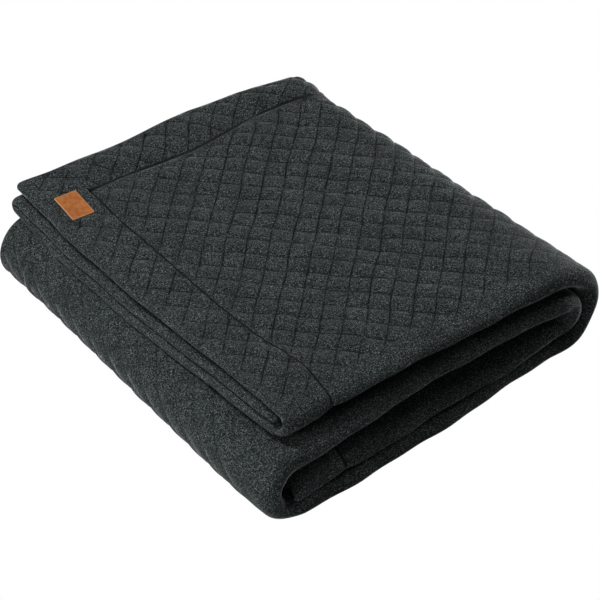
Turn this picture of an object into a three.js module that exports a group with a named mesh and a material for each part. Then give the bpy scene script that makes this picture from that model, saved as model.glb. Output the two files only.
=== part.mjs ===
// Quilted throw blanket, folded in three along its width and then wound flat into four bands.
// Millimetres, +Z up. X runs across the bands, Y along them, and the stack rests on Z = 0.
import * as THREE from 'three';

// Cloth and sewing
const CLOTH = 5.6; // thickness of the padded cloth
const HEM = 9; // thickness of the turned hem that shows
const INNER_HEM = 6.5; // thickness of the hem that is pressed inside the stack
const DIAMOND = 32.5; // diagonal of a quilted diamond, along X and along Y
const HALF = DIAMOND / 2;
const HEM_STEPS = 4; // hem width in half diamonds
const HEM_WIDTH = HEM_STEPS * HALF;
const HEM_EASE = 8; // half of the length over which the hem thins out
const QUILT_DEPTH = 2.5; // how far a stitched crossing lies below a diamond's middle
const TURN_SHARE = 0.5; // share of that depth that is left where the cloth is bent round a turn
const SEAM_DEPTH = 3; // how far the hem seam lies below a diamond's middle
const LAYER_GAP = 2.4; // between the three layers of a band
const FLAP_CLEARANCE = 3; // between the inner flap's end and the front fold
const EDGE_SHARE = 0.3; // rounding of a cut-side edge, as a share of its thickness

// How far each layer's left edge lies behind the winding's start, in even steps from the front to the back
const EDGE_INSET = {
  top: [4, 0, 18],
  flap: [2, 1, 8],
  under: [0, 0, 7],
};
const INSET_FADE = 300; // length over which the inset dies out

// The four bands in the order of winding. The skin is the outer face of the band.
// x: start and end; z: height of the skin at start and end; front and back: Y of the band's two ends, in even
// steps from its start to its end; skew: X shift of the back at start and end; bulge: reach of the turn that
// follows, at the front and the back
const BANDS = [
  { name: 'top', x: [-203, 163], z: [122, 123], front: [-226, -222, -223], back: [257, 252, 249, 228],
    skew: [-13, -15], bulge: [70, 49] },
  { name: 'bottom', x: [168, -182], z: [0, 0], front: [-213, -230, -247], back: [224, 240, 246],
    skew: [-15, 0], bulge: [48, 48] },
  { name: 'upper middle', x: [-183, 171], z: [86, 93], front: [-243, -229, -229], back: [246, 242, 232],
    skew: [0, -38], bulge: [33, 31] },
  { name: 'lower middle', x: [171, -195], z: [30, 29], front: [-222, -230, -245], back: [232, 240, 242],
    skew: [-38, 0], bulge: [0, 0] },
];
const TOP = 0;
const BOTTOM = 1;
const PATH_STEPS = 120; // points on each run and each turn of the skin's path
const RUN_REACH = 2.5; // half of the stretch that gives the skin's direction at a point

// Mesh steps
const ROWS = 29; // lattice rows from the back edge to the front fold
const FIRST_ROW = 0.5; // place of the first row behind the back edge, in half diamonds
const FRONT_PLAIN_ROWS = 3; // rows beside the front fold where the quilting is stretched flat
const HIDDEN_STEPS = 4; // half diamonds for one step on a band that is hidden or rests on the floor
const FRONT_FOLD_STEPS = 5;
const BACK_FOLD_STEPS = 4;
const EDGE_STATIONS = [ // rounding of the two sewn ends: distance from the edge and share of the thickness
  { distance: 0, share: 0.45 },
  { distance: 2.5, share: 0.85 },
];

// Leather label on the hem: its middle in cloth coordinates, from the left edge and from the back edge
const LABEL = {
  left: 34, back: 70, width: 26, length: 43, turn: THREE.MathUtils.degToRad(-4.5),
  thickness: 1.4, seat: 0.3, columns: 4, rows: 6,
};

const CHARCOAL = { color: 0x33393a, roughness: 0.95, metalness: 0 };
const TAN = { color: 0xc07a41, roughness: 0.6, metalness: 0 };

const mix = THREE.MathUtils.lerp;
const smooth = (share) => THREE.MathUtils.smoothstep(share, 0, 1);

// Value at a share of the run of a column that is given in even steps
function along(column, share) {
  const steps = column.length - 1;
  const step = THREE.MathUtils.clamp(Math.floor(share * steps), 0, steps - 1);
  return mix(column[step], column[step + 1], share * steps - step);
}

// Points of the skin along the winding: its place at the front and the back, and the Y of the band's two ends
function windingPoints() {
  const points = [];
  BANDS.forEach((band, index) => {
    for (let step = 0; step <= PATH_STEPS; step += 1) {
      const share = step / PATH_STEPS;
      const x = mix(band.x[0], band.x[1], share);
      const z = mix(band.z[0], band.z[1], smooth(share));
      const skew = mix(band.skew[0], band.skew[1], share);
      points.push({
        band: index,
        turn: false,
        front: new THREE.Vector2(x, z),
        back: new THREE.Vector2(x + skew, z),
        yFront: along(band.front, share),
        yBack: along(band.back, share),
      });
    }
    const next = BANDS[index + 1];
    if (!next) return;
    const heading = Math.sign(band.x[1] - band.x[0]);
    for (let step = 1; step < PATH_STEPS; step += 1) {
      const share = step / PATH_STEPS;
      const angle = Math.PI * share;
      const x = mix(band.x[1], next.x[0], share);
      const z = (band.z[1] + next.z[0]) / 2 + ((band.z[1] - next.z[0]) / 2) * Math.cos(angle);
      const reach = Math.sin(angle) * heading;
      points.push({
        band: index,
        turn: true,
        front: new THREE.Vector2(x + band.bulge[0] * reach, z),
        back: new THREE.Vector2(x + band.skew[1] + band.bulge[1] * reach, z),
        yFront: mix(band.front.at(-1), next.front[0], share),
        yBack: mix(band.back.at(-1), next.back[0], share),
      });
    }
  });
  let length = 0;
  points.forEach((point, index) => {
    point.middle = point.front.clone().add(point.back).multiplyScalar(0.5);
    if (index > 0) length += point.middle.distanceTo(points[index - 1].middle);
    point.length = length;
  });
  return points;
}

const winding = windingPoints();
const WOUND_LENGTH = winding.at(-1).length;

// The stretch of the winding at a length along it, with its neighbours for a direction
function windingAt(length) {
  const target = THREE.MathUtils.clamp(length, 0, WOUND_LENGTH);
  let low = 0;
  let high = winding.length - 1;
  while (high - low > 1) {
    const middle = (low + high) >> 1;
    if (winding[middle].length <= target) low = middle;
    else high = middle;
  }
  const [a, b] = [winding[low], winding[high]];
  const share = (target - a.length) / (b.length - a.length);
  return {
    band: a.band,
    turn: a.turn || b.turn,
    front: a.front.clone().lerp(b.front, share),
    back: a.back.clone().lerp(b.back, share),
    yFront: mix(a.yFront, b.yFront, share),
    yBack: mix(a.yBack, b.yBack, share),
  };
}

// Point at a length along the winding, a Y along the band and a depth under the skin
function place(length, y, depth) {
  const here = windingAt(length);
  const share = (y - here.yFront) / (here.yBack - here.yFront);
  const before = windingAt(length - RUN_REACH);
  const after = windingAt(length + RUN_REACH);
  const skin = here.front.clone().lerp(here.back, share);
  const ahead = after.front.clone().lerp(after.back, share);
  const behind = before.front.clone().lerp(before.back, share);
  const run = ahead.sub(behind).normalize();
  return new THREE.Vector3(skin.x + run.y * depth, y, skin.y - run.x * depth);
}

// Share of hem thickness at a distance from the cloth's edge
function hemShare(distance) {
  return smooth((HEM_WIDTH + HEM_EASE - distance) / (2 * HEM_EASE));
}

// Thickness of the three layers of the band at a length along it and a Y
function layersAt(length, y, ends) {
  const inner = mix(CLOTH, INNER_HEM, hemShare(WOUND_LENGTH - length));
  const cloth = Math.max(inner, mix(CLOTH, HEM, hemShare(length)));
  const top = Math.max(cloth, mix(CLOTH, HEM, hemShare(ends.yBack - y)));
  const flap = Math.max(cloth, mix(CLOTH, HEM, hemShare(y - ends.yFront - HEM - LAYER_GAP)));
  return { top, flap, under: cloth, total: top + flap + cloth + 2 * LAYER_GAP };
}

// Half the thickness of the folded band at its front, which is the radius of the front fold
function frontRadius(length, ends) {
  return layersAt(length, ends.yFront, ends).total / 2;
}

// Middle line of the cloth in the band's own section: Y, depth, outward normal, half thickness and layer.
// The cloth runs from the back edge along the top layer, round the front fold, back along the
// under layer, round the back fold and forward again as the inner flap.
const stretches = {
  top(length, ends, share) {
    const y = mix(ends.yBack, ends.yFront + frontRadius(length, ends), share);
    const { top } = layersAt(length, y, ends);
    return { y, depth: top / 2, ny: 0, nd: -1, half: top / 2, inset: { top: 1 } };
  },
  frontFold(length, ends, share) {
    const radius = frontRadius(length, ends);
    const half = layersAt(length, ends.yFront, ends).under / 2;
    const [sin, cos] = [Math.sin(Math.PI * share), Math.cos(Math.PI * share)];
    const y = ends.yFront + radius - (radius - half) * sin;
    const depth = radius - (radius - half) * cos;
    return { y, depth, ny: -sin, nd: -cos, half, inset: { top: 1 - share, under: share } };
  },
  under(length, ends, share) {
    const { under } = layersAt(length, ends.yBack, ends);
    const y = mix(ends.yFront + frontRadius(length, ends), ends.yBack - under - LAYER_GAP, share);
    const { total } = layersAt(length, y, ends);
    return { y, depth: total - under / 2, ny: 0, nd: 1, half: under / 2, inset: { under: 1 } };
  },
  backFold(length, ends, share) {
    const { under, total } = layersAt(length, ends.yBack, ends);
    const radius = (under + LAYER_GAP) / 2;
    const [sin, cos] = [Math.sin(Math.PI * share), Math.cos(Math.PI * share)];
    const y = ends.yBack - under - LAYER_GAP + radius * sin;
    const depth = total - under - LAYER_GAP / 2 + radius * cos;
    return { y, depth, ny: sin, nd: cos, half: under / 2, inset: { under: 1 - share, flap: share } };
  },
  flap(length, ends, share) {
    const { under } = layersAt(length, ends.yBack, ends);
    const yEnd = ends.yFront + frontRadius(length, ends) + FLAP_CLEARANCE;
    const y = mix(ends.yBack - under - LAYER_GAP, yEnd, share);
    const { top, flap } = layersAt(length, y, ends);
    return { y, depth: top + LAYER_GAP + flap / 2, ny: 0, nd: -1, half: flap / 2, inset: { flap: 1 } };
  },
};

const evenShares = (steps) => Array.from({ length: steps + 1 }, (_, step) => step / steps);
const insideShares = (steps) => evenShares(steps).slice(1, -1);

// Shares along a long layer: its ends, the hem lines near both ends and the middle
function layerShares() {
  const hem = HEM_WIDTH / (ROWS * HALF);
  return [0, hem, 0.5, 1 - hem, 1];
}

// Points of one closed section of the cloth, on its face, round the flap's edge, on its back and round the
// top layer's edge. Row counts half diamonds on the top layer's face.
function sectionRows() {
  const face = [];
  const back = [];
  const edge = EDGE_SHARE * HEM / (ROWS * HALF);
  const rowShare = (row) => (row - 1 + FIRST_ROW) / (ROWS - 1 + FIRST_ROW);
  for (let row = 0; row <= ROWS; row += 1) {
    face.push({ stretch: 'top', share: row ? rowShare(row) : edge, row });
  }
  face.push(...insideShares(FRONT_FOLD_STEPS).map((share) => ({ stretch: 'frontFold', share })));
  face.push(...layerShares().map((share) => ({ stretch: 'under', share })));
  face.push(...insideShares(BACK_FOLD_STEPS).map((share) => ({ stretch: 'backFold', share })));
  const flapShares = layerShares().slice(0, -1).concat(1 - edge);
  face.push(...flapShares.map((share) => ({ stretch: 'flap', share })));
  back.push({ stretch: 'top', share: edge });
  back.push(...layerShares().slice(1).map((share) => ({ stretch: 'top', share })));
  back.push(...insideShares(FRONT_FOLD_STEPS - 2).map((share) => ({ stretch: 'frontFold', share })));
  back.push(...layerShares().map((share) => ({ stretch: 'under', share })));
  back.push({ stretch: 'backFold', share: 0.5 });
  back.push(...flapShares.map((share) => ({ stretch: 'flap', share })));
  const tips = (stretch, share) => [
    { stretch, share, side: 1 - 2 * EDGE_SHARE },
    { stretch, share, side: 2 * EDGE_SHARE - 1 },
  ];
  return [
    ...face.map((point) => ({ ...point, side: 1 })),
    ...tips('flap', 1),
    ...back.reverse().map((point) => ({ ...point, side: -1 })),
    ...tips('top', 0).reverse(),
  ];
}

// Depth of the quilting at a half-diamond column and row of the top layer's face
function quiltDepth(station, row) {
  if (row === undefined || station.plain || row === 0) return 0;
  const onSeam = station.column === HEM_STEPS && row >= HEM_STEPS;
  const onBackSeam = row === HEM_STEPS && station.column >= HEM_STEPS;
  if (onSeam || onBackSeam) return SEAM_DEPTH;
  const fade = Math.min(1, (ROWS - row) / FRONT_PLAIN_ROWS) * (station.turn ? TURN_SHARE : 1);
  return (station.column + row) % 2 === 1 ? QUILT_DEPTH * fade : 0;
}

// Stations along the winding: fine where the quilting or a turn shows, coarse on hidden and resting runs
function stationList() {
  const stations = EDGE_STATIONS.map(({ distance, share }) => ({ length: distance, share, plain: true }));
  const columns = Math.floor((WOUND_LENGTH - EDGE_STATIONS.at(-1).distance) / HALF);
  const fine = (column) => {
    const { band, turn } = windingAt(column * HALF);
    return turn || band === TOP;
  };
  let waited = 0;
  for (let column = 1; column <= columns; column += 1) {
    waited += 1;
    const needed = fine(column) || fine(column + 1) || fine(column - 1);
    if (!needed && waited < HIDDEN_STEPS) continue;
    waited = 0;
    const { band, turn } = windingAt(column * HALF);
    const plain = band > BOTTOM || (band === BOTTOM && !turn);
    stations.push({ length: column * HALF, share: 1, column, turn, plain });
  }
  EDGE_STATIONS.toReversed().forEach(({ distance, share }) => {
    stations.push({ length: WOUND_LENGTH - distance, share, plain: true });
  });
  return stations;
}

// How far along the winding a cloth point lies behind its station
function edgeInset(station, share, weights) {
  const fade = Math.max(0, 1 - station.length / INSET_FADE);
  return Object.entries(weights).reduce((sum, [layer, weight]) => (
    sum + weight * fade * along(EDGE_INSET[layer], share)
  ), 0);
}

// Which way a quad is split: along the stitches on the quilted face, and the same way in Y on facing layers
function splitsForward(station, row, nextRow) {
  const quilted = row.row !== undefined && nextRow.row !== undefined;
  if (quilted) return ((station.column ?? 0) + row.row) % 2 === 1;
  return (row.stretch === 'under') === (row.side < 0);
}

function blanketGeometry() {
  const rows = sectionRows();
  const stations = stationList();
  const positions = [];
  const outlines = [];
  stations.forEach((station) => {
    const ends = windingAt(station.length);
    const outline = rows.map((row) => {
      const build = stretches[row.stretch];
      const nominal = build(station.length, ends, row.share);
      const nominalShare = (nominal.y - ends.yFront) / (ends.yBack - ends.yFront);
      const length = station.length + edgeInset(station, nominalShare, nominal.inset);
      const middle = build(length, ends, row.share);
      const half = middle.half * row.side * station.share;
      const y = middle.y + middle.ny * half;
      const depth = middle.depth + middle.nd * half + quiltDepth(station, row.row);
      positions.push(...place(length, y, depth).toArray());
      return new THREE.Vector2(y, depth);
    });
    outlines.push(outline);
  });

  const count = rows.length;
  const indices = [];
  for (let s = 0; s + 1 < stations.length; s += 1) {
    for (let r = 0; r < count; r += 1) {
      const next = (r + 1) % count;
      const [a, b] = [s * count + r, s * count + next];
      const [c, d] = [a + count, b + count];
      if (splitsForward(stations[s], rows[r], rows[next])) indices.push(a, b, d, a, d, c);
      else indices.push(a, b, c, b, d, c);
    }
  }
  const cap = (station, flipped) => {
    const outline = outlines[station];
    const first = station * count;
    THREE.ShapeUtils.triangulateShape(outline, []).forEach(([a, b, c]) => {
      indices.push(first + a, first + (flipped ? c : b), first + (flipped ? b : c));
    });
  };
  const clockwise = THREE.ShapeUtils.isClockWise(outlines[0]);
  cap(0, !clockwise);
  cap(stations.length - 1, clockwise);

  const geometry = new THREE.BufferGeometry();
  geometry.setAttribute('position', new THREE.Float32BufferAttribute(positions, 3));
  geometry.setIndex(indices);
  return geometry;
}

// Thin leather plate that follows the hem under it
function labelGeometry() {
  const { left, back, width, length, turn, thickness, seat, columns, rows } = LABEL;
  const positions = [];
  const corner = new THREE.Vector2();
  const centre = new THREE.Vector2();
  [-seat, -seat - thickness].forEach((depth) => {
    for (let row = 0; row <= rows; row += 1) {
      for (let column = 0; column <= columns; column += 1) {
        corner.set(width * (column / columns - 0.5), length * (0.5 - row / rows)).rotateAround(centre, turn);
        const station = { length: left + corner.x };
        const ends = windingAt(station.length);
        const y = ends.yBack - back + corner.y;
        const share = (y - ends.yFront) / (ends.yBack - ends.yFront);
        positions.push(...place(station.length + edgeInset(station, share, { top: 1 }), y, depth).toArray());
      }
    }
  });
  const across = columns + 1;
  const layer = across * (rows + 1);
  const under = (column, row) => row * across + column;
  const over = (column, row) => under(column, row) + layer;
  const indices = [];
  const quad = (a, b, c, d) => indices.push(a, b, c, a, c, d);
  for (let row = 0; row < rows; row += 1) {
    for (let column = 0; column < columns; column += 1) {
      quad(over(column, row), over(column, row + 1), over(column + 1, row + 1), over(column + 1, row));
      quad(under(column, row), under(column + 1, row), under(column + 1, row + 1), under(column, row + 1));
    }
    quad(under(0, row), under(0, row + 1), over(0, row + 1), over(0, row));
    quad(under(columns, row), over(columns, row), over(columns, row + 1), under(columns, row + 1));
  }
  for (let column = 0; column < columns; column += 1) {
    quad(under(column, 0), over(column, 0), over(column + 1, 0), under(column + 1, 0));
    quad(under(column, rows), under(column + 1, rows), over(column + 1, rows), over(column, rows));
  }
  const geometry = new THREE.BufferGeometry();
  geometry.setAttribute('position', new THREE.Float32BufferAttribute(positions, 3));
  geometry.setIndex(indices);
  return geometry;
}

function piece(name, geometry, finish) {
  geometry.computeVertexNormals();
  const mesh = new THREE.Mesh(geometry, new THREE.MeshStandardMaterial(finish));
  mesh.name = name;
  return mesh;
}

const throwBlanket = new THREE.Group();
const blanket = piece('quilted_blanket', blanketGeometry(), CHARCOAL);
const label = piece('leather_label', labelGeometry(), TAN);
throwBlanket.add(blanket, label);

// The origin is the middle of the stack's underside
const middle = new THREE.Box3().setFromObject(blanket).getCenter(new THREE.Vector3());
throwBlanket.position.set(-middle.x, -middle.y, 0);

export default throwBlanket;
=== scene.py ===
"""Folded quilted throw: its padded cloth and leather label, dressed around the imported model."""

import logging
import math
from dataclasses import dataclass
from enum import Enum
from typing import Any, Callable, NamedTuple, Sequence

import bpy
import numpy as np
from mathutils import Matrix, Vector
from mathutils.bvhtree import BVHTree


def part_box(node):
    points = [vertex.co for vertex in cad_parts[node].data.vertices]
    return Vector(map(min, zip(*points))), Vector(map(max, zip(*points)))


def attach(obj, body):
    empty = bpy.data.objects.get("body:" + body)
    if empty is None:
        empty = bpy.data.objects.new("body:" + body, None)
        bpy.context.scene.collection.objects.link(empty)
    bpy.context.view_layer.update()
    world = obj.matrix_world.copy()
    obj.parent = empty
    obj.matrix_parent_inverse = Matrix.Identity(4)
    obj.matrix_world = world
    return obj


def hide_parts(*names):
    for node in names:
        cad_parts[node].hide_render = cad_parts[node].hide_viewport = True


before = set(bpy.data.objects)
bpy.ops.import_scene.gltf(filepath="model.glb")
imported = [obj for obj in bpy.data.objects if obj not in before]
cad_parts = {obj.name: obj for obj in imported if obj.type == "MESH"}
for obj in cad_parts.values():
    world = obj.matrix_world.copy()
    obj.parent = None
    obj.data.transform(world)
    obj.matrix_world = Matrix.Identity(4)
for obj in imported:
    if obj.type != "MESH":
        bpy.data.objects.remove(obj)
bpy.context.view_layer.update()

LOG = logging.getLogger("quilted_throw")
MM = 0.001
SEED = 11
BODY = "root"
BLANKET_NODE = "quilted_blanket"
LABEL_NODE = "leather_label"

Array = np.ndarray
Pair = tuple[float, float]
Triple = tuple[float, float, float]
Colour = Triple
Floats = tuple[float, ...]


def mix(first: Any, second: Any, share: Any) -> Any:
    """Value between two values."""
    return first + (second - first) * share


def smooth(share: Array) -> Array:
    """Smooth step of a share, held between 0 and 1."""
    held = np.clip(share, 0.0, 1.0)
    return held * held * (3.0 - 2.0 * held)


def rise(value: Array, start: float, reach: float) -> Array:
    """Smooth step from 0 at a start to 1 a reach beyond it."""
    return smooth((value - start) / reach)


def along(column: Sequence[float], share: Array) -> Array:
    """Value at a share of a column that is given in even steps."""
    return np.interp(share, np.linspace(0.0, 1.0, len(column)), column)


def label_middle() -> Vector:
    """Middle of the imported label's box, in millimetres."""
    low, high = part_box(LABEL_NODE)
    return (low + high) / 2 / MM


def mark_points(mesh: bpy.types.Mesh, name: str, *parts: Array) -> None:
    """Store up to three values at each point of a mesh.

    Args:
        mesh: The mesh.
        name: Name of the attribute.
        parts: The values.
    """
    values = np.zeros((parts[0].size, 3), np.float32)
    for axis, part in enumerate(parts):
        values[:, axis] = part.ravel()
    mesh.attributes.new(name, "FLOAT_VECTOR", "POINT").data.foreach_set("vector", values.ravel())


@dataclass(frozen=True)
class Wave:
    """A sine: its height, the length of a radian in two directions, and its phase."""

    height: float
    x: float
    y: float = math.inf
    phase: float = 0.0

    def at(self, x: Array, y: Any = 0.0) -> Array:
        """Height at a place."""
        return self.height * np.sin(x / self.x + y / self.y + self.phase)


@dataclass(frozen=True)
class Groove:
    """A soft groove along a line: its depth and how far it reaches to a side."""

    depth: float
    reach: float

    def at(self, distance: Array) -> Array:
        """Depth at a distance from the line."""
        return self.depth * np.exp(-(distance / self.reach) ** 2)


class Level(NamedTuple):
    """A share that holds at a knot of the winding, shifted by some millimetres.

    Knots count the starts and ends of the bands in turn, so 1.5 is half-way round the first turn.
    """

    knot: float
    shift: float
    share: float


@dataclass(frozen=True)
class Band:
    """One flat run of the wound cloth, in millimetres.

    x and z are the outer face's start and end, front and back the Y of the two ends in even steps,
    skew the X shift of the back end, and bulge the reach of the turn that follows, front and back.
    tuck is how far that turn is drawn in at its front end.
    """

    name: str
    x: Pair
    z: Pair
    front: Floats
    back: Floats
    skew: Pair
    bulge: Pair
    tuck: float = 0.0


BANDS = (
    Band("top", (-203, 163), (122, 123), (-223, -220, -223), (262.5, 254.5, 250.5, 251, 252.5, 246, 236),
         (-13, -13), (70, 36)),
    Band("bottom", (168, -182), (0, 0), (-217, -236, -246), (228, 240, 246), (-13, 0), (55, 51), 7.0),
    Band("upper middle", (-183, 171), (86, 93), (-243, -229, -229), (246, 242, 232), (0, -42), (33, 31)),
    Band("lower middle", (171, -195), (30, 29), (-222, -230, -245), (232, 240, 242), (-42, 0), (0, 0)),
)
TOP_BAND = BANDS[0]


class Winding:
    """Path of the cloth's outer face through the bands and the turns between them.

    Its table has a row for each step: front x and z, back x and z, front Y, back Y and the drawing in of X.
    """

    STEPS = 120
    REACH = 2.5
    FULLNESS = (1.0, 0.62)
    TUCKED = 0.2
    FRONT_SKIN, BACK_SKIN = slice(0, 2), slice(2, 4)
    FRONT_Y, BACK_Y, DRAWN_IN = 4, 5, 6

    def __init__(self, bands: Sequence[Band]) -> None:
        """Lay out the path.

        Args:
            bands: The flat runs, in the order of winding.
        """
        stretches = [self._run(bands[0])]
        for before, band in zip(bands, bands[1:]):
            stretches += [self._turn(before, band), self._run(band)]
        self.table = np.concatenate(stretches)
        middle = (self.table[:, self.FRONT_SKIN] + self.table[:, self.BACK_SKIN]) / 2
        steps = np.linalg.norm(np.diff(middle, axis=0), axis=1)
        self.lengths = np.concatenate([[0.0], np.cumsum(steps)])
        self.limits = self.lengths[::self.STEPS]
        self.total = self.limits[-1]

    def _run(self, band: Band) -> Array:
        """Rows of a flat run.

        Args:
            band: The run.

        Returns:
            Its rows of the table.
        """
        share = np.linspace(0.0, 1.0, self.STEPS + 1)
        x = mix(*band.x, share)
        z = mix(*band.z, smooth(share))
        back_x = x + mix(*band.skew, share)
        return np.stack([x, z, back_x, z, along(band.front, share), along(band.back, share), 0.0 * x], -1)

    def _turn(self, band: Band, after: Band) -> Array:
        """Rows of the turn from one band into the next.

        Args:
            band: The band before the turn.
            after: The band behind it.

        Returns:
            Its rows of the table.
        """
        share = np.linspace(0.0, 1.0, self.STEPS + 1)[1:-1]
        heading = math.copysign(1.0, band.x[1] - band.x[0])
        x = mix(band.x[1], after.x[0], share)
        z = (band.z[1] + after.z[0]) / 2 + (band.z[1] - after.z[0]) / 2 * np.cos(math.pi * share)
        reach = np.sin(math.pi * share) ** mix(*self.FULLNESS, share) * heading
        front = mix(band.front[-1], after.front[0], share)
        back = mix(band.back[-1], after.back[0], share)
        back_x = x + band.skew[1] + band.bulge[1] * reach
        return np.stack([x + band.bulge[0] * reach, z, back_x, z, front, back, band.tuck * reach], -1)

    def at(self, length: Array) -> Array:
        """Rows of the table at lengths along the winding, with the columns last."""
        return np.stack([np.interp(length, self.lengths, column) for column in self.table.T], -1)

    def place(self, length: Array, y: Array, depth: Array) -> Array:
        """Points at a length, a Y along the band and a depth under the outer face.

        Args:
            length: Lengths along the winding.
            y: Place along the band.
            depth: Distance inwards from the outer face.

        Returns:
            Points in the winding's own millimetres.
        """
        reach = np.maximum(self.REACH, depth)
        paths = [self.at(length + step * reach) for step in (0.0, -1.0, 1.0)]
        front, back = paths[0][..., self.FRONT_Y], paths[0][..., self.BACK_Y]
        share = ((y - front) / (back - front))[..., None]
        skin, behind, ahead = (mix(path[..., self.FRONT_SKIN], path[..., self.BACK_SKIN], share)
                               for path in paths)
        tucked = np.clip(1.0 - share[..., 0] / self.TUCKED, 0.0, 1.0) ** 2
        skin[..., 0] -= paths[0][..., self.DRAWN_IN] * tucked
        run = (ahead - behind) / np.linalg.norm(ahead - behind, axis=-1, keepdims=True)
        return np.stack([skin[..., 0] + run[..., 1] * depth, y, skin[..., 1] - run[..., 0] * depth], -1)


class Stretch(Enum):
    """Stretches of the cloth in a band's section, from the back edge to the end of the inner flap."""

    TOP = "top"
    FRONT_FOLD = "front fold"
    UNDER = "under"
    BACK_FOLD = "back fold"
    FLAP = "flap"


@dataclass(frozen=True)
class ColumnLine:
    """A mesh line across the winding: weights of the left edge and the seam, and a fixed place.

    swell is the share of the cloth's thickness, and stitch how strongly the quilting is sewn here.
    """

    edge: float
    seam: float
    fixed: float
    swell: float = 1.0
    stitch: float = 1.0


@dataclass(frozen=True)
class RowLine:
    """A mesh line along the winding, at a share of a stretch and a side of the cloth from -1 to 1.

    On the top layer's face the place is edge, seam, panel and fold weights and an offset instead.
    lattice is its place in the quilting in half diamonds, and stitch how strongly that is sewn here.
    """

    stretch: Stretch
    share: float = 0.0
    side: float = 1.0
    on_face: bool = False
    edge: float = 0.0
    seam: float = 0.0
    panel: float = 0.0
    fold: float = 0.0
    offset: float = 0.0
    panel_y: float = 0.0
    lattice: float = 0.0
    stitch: float = 0.0


class Stations(NamedTuple):
    """Points on the winding: place and length along it, and Y of the front fold and the back edge there."""

    place: Array
    length: Array
    front: Array
    back: Array

    def share(self, y: Array) -> Array:
        """Share of the way from the front fold to the back edge."""
        return (y - self.front) / (self.back - self.front)


class MiddleLine(NamedTuple):
    """Middle of the cloth at each point: Y, depth, outward normal in Y and depth, and half thickness."""

    y: Array
    depth: Array
    normal_y: Array
    normal_depth: Array
    half: Array


class Layers(NamedTuple):
    """Thickness of the top layer, the flap and the under layer, and of the whole band."""

    top: Array
    flap: Array
    under: Array
    whole: Array


@dataclass(frozen=True)
class FoldedSection:
    """The band's section: the cloth laid in three, with its turned hems, in millimetres."""

    total: float
    cloth: float = 6.2
    hem: float = 9.6
    inner_hem: float = 7.1
    hem_width: float = 65.0
    hem_ease: float = 14.0
    gap: float = 0.5
    lift: float = 1.6
    flap_clearance: float = 3.0

    def _padded(self, hem: float, distance: Array) -> Array:
        """Thickness of the cloth at a distance from an edge that has a hem."""
        return mix(self.cloth, hem, rise(-distance, -self.hem_width - self.hem_ease, 2 * self.hem_ease))

    def layers(self, at: Stations, y: Array) -> Layers:
        """Thickness of the layers.

        Args:
            at: Points on the winding.
            y: Their Y.

        Returns:
            The layers' thicknesses.
        """
        under = np.maximum(self._padded(self.inner_hem, self.total - at.length),
                           self._padded(self.hem, at.length))
        top = np.maximum(under, self._padded(self.hem, at.back - y))
        flap = np.maximum(under, self._padded(self.hem, y - at.front - self.hem - self.gap))
        return Layers(top, flap, under, top + self.lift + flap + self.gap + under)

    def fold(self, at: Stations) -> Array:
        """Y at which the front fold begins to turn."""
        return at.front + self.layers(at, at.front).whole / 2

    def top(self, at: Stations, y: Array) -> MiddleLine:
        """Middle of the top layer at given Y."""
        half = self.layers(at, y).top / 2
        return MiddleLine(y, half, np.zeros_like(y), -np.ones_like(y), half)

    def line(self, row: RowLine, at: Stations) -> MiddleLine:
        """Middle of the cloth along a row that isn't on the top layer's face.

        Args:
            row: The row.
            at: Points on the winding.

        Returns:
            The middle line's points.
        """
        fold = self.fold(at)
        under = self.layers(at, at.back).under
        turn_y = at.back - under - self.gap
        none, one = np.zeros_like(fold), np.ones_like(fold)
        sine, cosine = np.sin(math.pi * row.share) * one, np.cos(math.pi * row.share) * one
        if row.stretch is Stretch.TOP:
            return self.top(at, mix(at.back, fold, row.share))
        if row.stretch is Stretch.FRONT_FOLD:
            half = self.layers(at, at.front).under / 2
            inner = fold - at.front - half
            return MiddleLine(fold - inner * sine, fold - at.front - inner * cosine, -sine, -cosine, half)
        if row.stretch is Stretch.UNDER:
            y = mix(fold, turn_y, row.share)
            return MiddleLine(y, self.layers(at, y).whole - under / 2, none, one, under / 2)
        if row.stretch is Stretch.BACK_FOLD:
            turn = (under + self.gap) / 2
            depth = self.layers(at, at.back).whole - under - self.gap / 2 + turn * cosine
            return MiddleLine(turn_y + turn * sine, depth, sine, cosine, under / 2)
        y = mix(turn_y, fold + self.flap_clearance, row.share)
        layers = self.layers(at, y)
        return MiddleLine(y, layers.top + self.lift + layers.flap / 2, none, -one, layers.flap / 2)


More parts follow.
